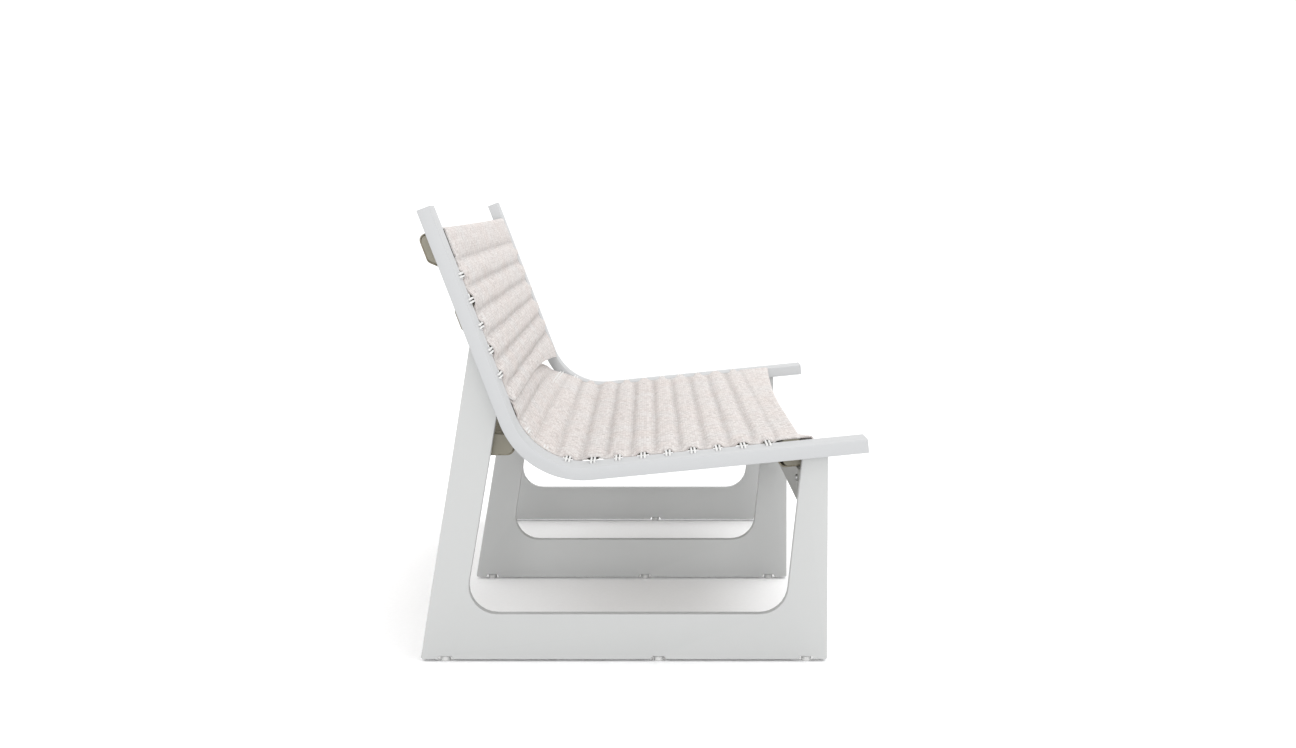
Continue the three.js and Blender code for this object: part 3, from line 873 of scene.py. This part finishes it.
# flap from the bar to the first full rib
flap = smooth_through([(354, 27.6), (346, 27.5), (338, 26.9), (331, 25.8), (322, 27.8), (312.6, 29.1)], 15)
for i, (s, n) in enumerate(flap[1:]):
    row = []
    for x in XS:
        edge = smoothstep(abs(x), 585, 637)
        low = 20.9 + 8.5 * math.exp(-(max(0.0, abs(s - 312.6) - 3.6) / 5.0) ** 2)
        low = low + (26.4 - low) * smoothstep(s, 320, 334)
        row.append(nose((s + 0.8 * wave(x, 0, 5) * (1 if s < 340 else 0), (n + 0.2 * wave(x, s, 4)) * (1 - edge) + min(n, low) * edge), x))
    lines.append(row)
    seam_shade_rows.append(0.9 * math.exp(-((s - 331) / 4.5) ** 2))
    lined.append(False)
# ribs, from the front cord back to the last valley on the bend
cords = SEAT_CORDS[::-1]
valleys = [(cords[i] + cords[i + 1]) / 2 for i in range(len(cords) - 1)] + [T_VALLEY]
STEP = 12
NC = len(cords)
for i, c in enumerate(cords):
    for side in (0, 1):
        if i == 0 and side == 0:
            continue
        v = valleys[i - 1] if side == 0 else valleys[i]
        hp = abs(v - c)
        for k in range(1, STEP + 1):
            d = (v - c) * ((1 - k / STEP) if side == 0 else k / STEP)
            sway = 1.1 * abs(d / hp)
            lines.append([along("seat", c + d + sway * wave(x, (i + side) * 31, 7), rib("seat", NC - 1 - i, d, hp, x)) for x in XS])
            seam_shade_rows.append(crease(d, hp))
            lined.append(False)
# rear part: three softer ribs that fade out
REAR_ROWS = 54
for k in range(1, REAR_ROWS + 1):
    v = k / REAR_ROWS
    t = T_VALLEY + (T_TOP - T_VALLEY) * v
    row = []
    for x in XS:
        p = rear_mid(v, x)
        a, b = rear_mid(max(0, v - 0.01), x), rear_mid(min(1, v + 0.01), x)
        d = (a - b) / np.linalg.norm(a - b)
        nrm = np.array([-d[1], d[0]])
        edge = smoothstep(abs(x), 585, 637)
        q = ((-t - 64) % 44) / 22 - 1
        amp = (0.5 + 0.5 * math.cos(math.pi * abs(q) ** 2.0)) * (5.6 * (1 - v) ** 0.55) * (1 - 0.9 * edge) * (1 - 0.3 * w_far(x))
        amp += 1.6 * (1 - edge) * (1 - smoothstep(v, 0.0, 0.5))
        row.append(p + nrm * (amp + 0.2 * wave(x * 1.7, t, 9)))
    lines.append(row)
    seam_shade_rows.append(math.exp(-((22 - abs(((-t - 64) % 44) - 22)) / 4.2) ** 2) * (1 - v))
    lined.append(False)
# over the fold and down to the top of the rear bar
NEAR_FOLD = smooth_through([on_rail(T_TOP, 24.6), on_back(26, 21.0), on_back(26, 13.0), on_back(14, 6.5),
                            on_back(-4, 3.5), (-252.0, 403.0), (-262.0, 398.9)], 18)
FAR_FOLD = smooth_through([(-260.0, 399.3), (-260.6, 399.1), (-261.3, 399.0), (-262.0, 398.9)], 18)
for k in range(1, 18):
    row = []
    for x in XS:
        w = w_far(x)
        row.append(NEAR_FOLD[k] * (1 - w) + FAR_FOLD[k] * w)
    lines.append(row)
    seam_shade_rows.append(0.0)
    lined.append(k > 4)
wrap = rounded([(-262.0, 398.9, 0), (-292.4, 398.9, 13.4), (-292.4, 359.1, 13.4), (-237.1, 359.1, 13.4), (-237.1, 371.0, 0)], False, 10)
wr = resample(wrap, 60)
for i, p in enumerate(wr[1:]):
    lines.append([p for x in XS])
    seam_shade_rows.append(0.8 if i == 56 else 0.0)
    lined.append(True)
SEAT_LINED = lined
seat_ob, seat_s = sheet_mesh("seat_sling_cloth", lines, lambda i, x: hem_t(x, T0), seam_shade_rows, lambda i: SEAT_LINED[min(i, len(SEAT_LINED) - 1)])
finish_piece(seat_ob, "sling_fabric", "seat_sling", "seat_sling_rear", "seat_sling_front_pocket", "seat_sling_rear_pocket")

# ---- back sling
lines, seam_shade_rows, lined = [], [], []
tb1, tbn0, tbn1, tbr = 350.8, -23.4, 27.2, 10.4
pocket = rounded([(*on_back(273, 19.6), 0), (*on_back(279, 2), 8), (*on_back(303.6, tbn0), 10),
                  (*on_back(tb1, tbn0), tbr), (*on_back(tb1, tbn1), tbr), (*on_back(330, tbn1 + 0.6), 0)], False, 10)
pk = resample(pocket, 66)
for i, p in enumerate(pk):
    top = smoothstep(i, 38, 52)
    over = max(0.0, float((p - A) @ nBack) - 24.4)
    lines.append([p - dirBack * 1.2 * top * (1 - (x / 639) ** 2) - nBack * over * smoothstep(abs(x), 560, 637) for x in XS])
    seam_shade_rows.append(0.8 if i in (2, 3) else 0.0)
    lined.append(i < 44)
head = smooth_through([(330, tbn1 + 0.6), (318, 28.4), (306, 27.6), (296, 25.0), (289, 22.6), (281, 24.9), (272, 28.2), (261.3, 29.1)], 28)
for s, n in head[1:]:
    g = smoothstep(s, 300, 330)
    row = []
    for x in XS:
        edge = smoothstep(abs(x), 585, 637)
        low = 20.9 + 8.5 * math.exp(-(max(0.0, abs(s - 261.3) - 3.6) / 4.0) ** 2)
        low = low * (1 - smoothstep(s, 272, 284)) + min(n, 24.4) * smoothstep(s, 272, 284)
        row.append(on_back(s + 0.9 * wave(x, 3, 15) * (1 - g) - 1.2 * g * (1 - (x / 639) ** 2), (n + 0.2 * wave(x, s, 14)) * (1 - edge) + min(n, low) * edge))
    lines.append(row)
    seam_shade_rows.append(math.exp(-((s - 289) / 4.5) ** 2))
    lined.append(False)
bv = [(BACK_CORDS[i] + BACK_CORDS[i + 1]) / 2 for i in range(4)] + [50.0]
for i, c in enumerate(BACK_CORDS):
    for side in (0, 1):
        if i == 0 and side == 0:
            continue
        v = bv[i - 1] if side == 0 else bv[i]
        hp = abs(v - c)
        for k in range(1, STEP + 1):
            d = (v - c) * ((1 - k / STEP) if side == 0 else k / STEP)
            sway = 1.2 * abs(d / hp)
            lines.append([on_back(c + d + sway * wave(x, (i + side) * 41, 17), rib("back", i, d, hp, x)) for x in XS])
            seam_shade_rows.append(crease(d, hp))
            lined.append(False)
HEM_ROWS = 22


def s_at(v):
    return 50 - 28.5 * v


for k in range(1, HEM_ROWS + 1):
    v = k / HEM_ROWS
    row = []
    for x in XS:
        w = w_far(x)
        end = 21.5 - 37.5 * w
        s = 50 + (end - 50) * v
        n0 = 23.0 - 1.6 * smoothstep(abs(x), 585, 637)
        bulge = 6.6 * math.sin(math.pi * min(1.0, v * 1.25) * 0.5) + 1.2 * math.sin(math.pi * v)
        side = smoothstep(-x, 585, 637)
        bulge = bulge * (1 - side) + 6.9 * smoothstep(v, 0.6, 1.0) * side
        n = n0 + bulge - w ** 3 * 3.0 * v
        row.append(on_back(s, n + 0.25 * wave(x * 1.5, s, 19)))
    lines.append(row)
    seam_shade_rows.append(0.7 if k == HEM_ROWS - 7 else (math.exp(-((s_at(v) - 50) / 4.2) ** 2)))
    lined.append(False)
BACK_LINED = lined
rows_b = len(lines)


def back_half(i, x):
    t = hem_t(x, T0)
    if i >= rows_b - 8:
        t = max(t, T0 * 1.5)
    return t


back_ob, back_s = sheet_mesh("back_sling_cloth", lines, back_half, seam_shade_rows, lambda i: BACK_LINED[min(i, len(BACK_LINED) - 1)])
finish_piece(back_ob, "sling_fabric", "back_sling", "back_sling_top_pocket")


# ---- the strips under the cords, sewn to the slings on both sides of each loop
def strip(name, kind, t, index):
    ds = np.linspace(-14.5, 14.5, 15)
    half = 0.4
    rows = []
    for d in ds:
        q = abs(d)
        rows.append([])
        for x in XS:
            low = 25.75 - CORD_R - 0.35 - half
            hp = 22.0
            cloth = rib(kind, index, d, hp, x) - T0 * 1.6 - half - 0.15
            k = smoothstep(q, 6.5, 13.5)
            n = low * (1 - k) + min(cloth, 28) * k
            rows[-1].append(along(kind, t + d, n))
    ob, s = sheet_mesh(name, rows, lambda i, x: half, [1.0 if abs(abs(d) - 12.4) < 1.1 else 0.0 for d in ds], lambda i: True)
    finish_piece(ob, "sling_fabric")


for i, t in enumerate(SEAT_CORDS):
    strip(f"seat_channel_{i + 1}", "seat", t, i)
for i, t in enumerate(BACK_CORDS):
    strip(f"back_channel_{i + 1}", "back", t, i)


# ---------------------------------------------------------------- stage, light, camera
floor_mat, nt, bsdf = start("studio_floor")
tc = node(nt, "ShaderNodeTexCoord")
n1 = node(nt, "ShaderNodeTexNoise", Scale=120.0, Detail=5.0)
nt.links.new(tc.outputs["Object"], n1.inputs["Vector"])
nt.links.new(ramp(nt, n1.outputs["Fac"], [(0.3, (0.955, 0.955, 0.96)), (0.7, (0.985, 0.985, 0.99))]), bsdf.inputs["Base Color"])
bsdf.inputs["Roughness"].default_value = 0.9
bsdf.inputs["Specular IOR Level"].default_value = 0.1
floor = new_mesh("studio_floor", [(-30, -30, 0), (60, -30, 0), (60, 30, 0), (-30, 30, 0)], [(0, 1, 2, 3)], None)
floor.data.materials.append(floor_mat)

world = bpy.data.worlds.new("studio")
bpy.context.scene.world = world
world.use_nodes = True
bg = world.node_tree.nodes["Background"]
bg.inputs[0].default_value = (1.0, 1.0, 1.0, 1.0)
bg.inputs[1].default_value = 1.3


def area(name, loc, target, size, power, colour=(1, 1, 1)):
    d = bpy.data.lights.new(name, "AREA")
    d.energy = power
    d.size = size
    d.color = colour
    o = bpy.data.objects.new(name, d)
    o.location = loc
    o.rotation_euler = (Vector(target) - Vector(loc)).to_track_quat("-Z", "Y").to_euler()
    bpy.context.scene.collection.objects.link(o)
    return o


area("key_above", (0.1, -0.9, 3.4), (0.1, 0, 0.3), 2.6, 36)
soft = bpy.data.lights.new("fill_end", "SUN")
soft.energy = 1.0
soft.angle = 0.25
soft_o = bpy.data.objects.new("fill_end", soft)
soft_o.location = (-6, 0, 2)
soft_o.rotation_euler = Vector((1.0, 0.0, -0.165)).to_track_quat("-Z", "Y").to_euler()
bpy.context.scene.collection.objects.link(soft_o)

cam_d = bpy.data.cameras.new("camera")
cam = bpy.data.objects.new("camera", cam_d)
bpy.context.scene.collection.objects.link(cam)
cam_d.lens = 50
cam_d.sensor_width = 36
pitch = math.atan(178 / 1800)
cam.location = (-3.8035, -0.00935, 0.8157)
cam.rotation_euler = Vector((math.cos(pitch), 0, -math.sin(pitch))).to_track_quat("-Z", "Y").to_euler()
cam_d.clip_end = 200
bpy.context.scene.camera = cam
bpy.context.scene.view_settings.view_transform = "Standard"
bpy.context.scene.view_settings.look = "None"
bpy.context.scene.view_settings.exposure = 0.0
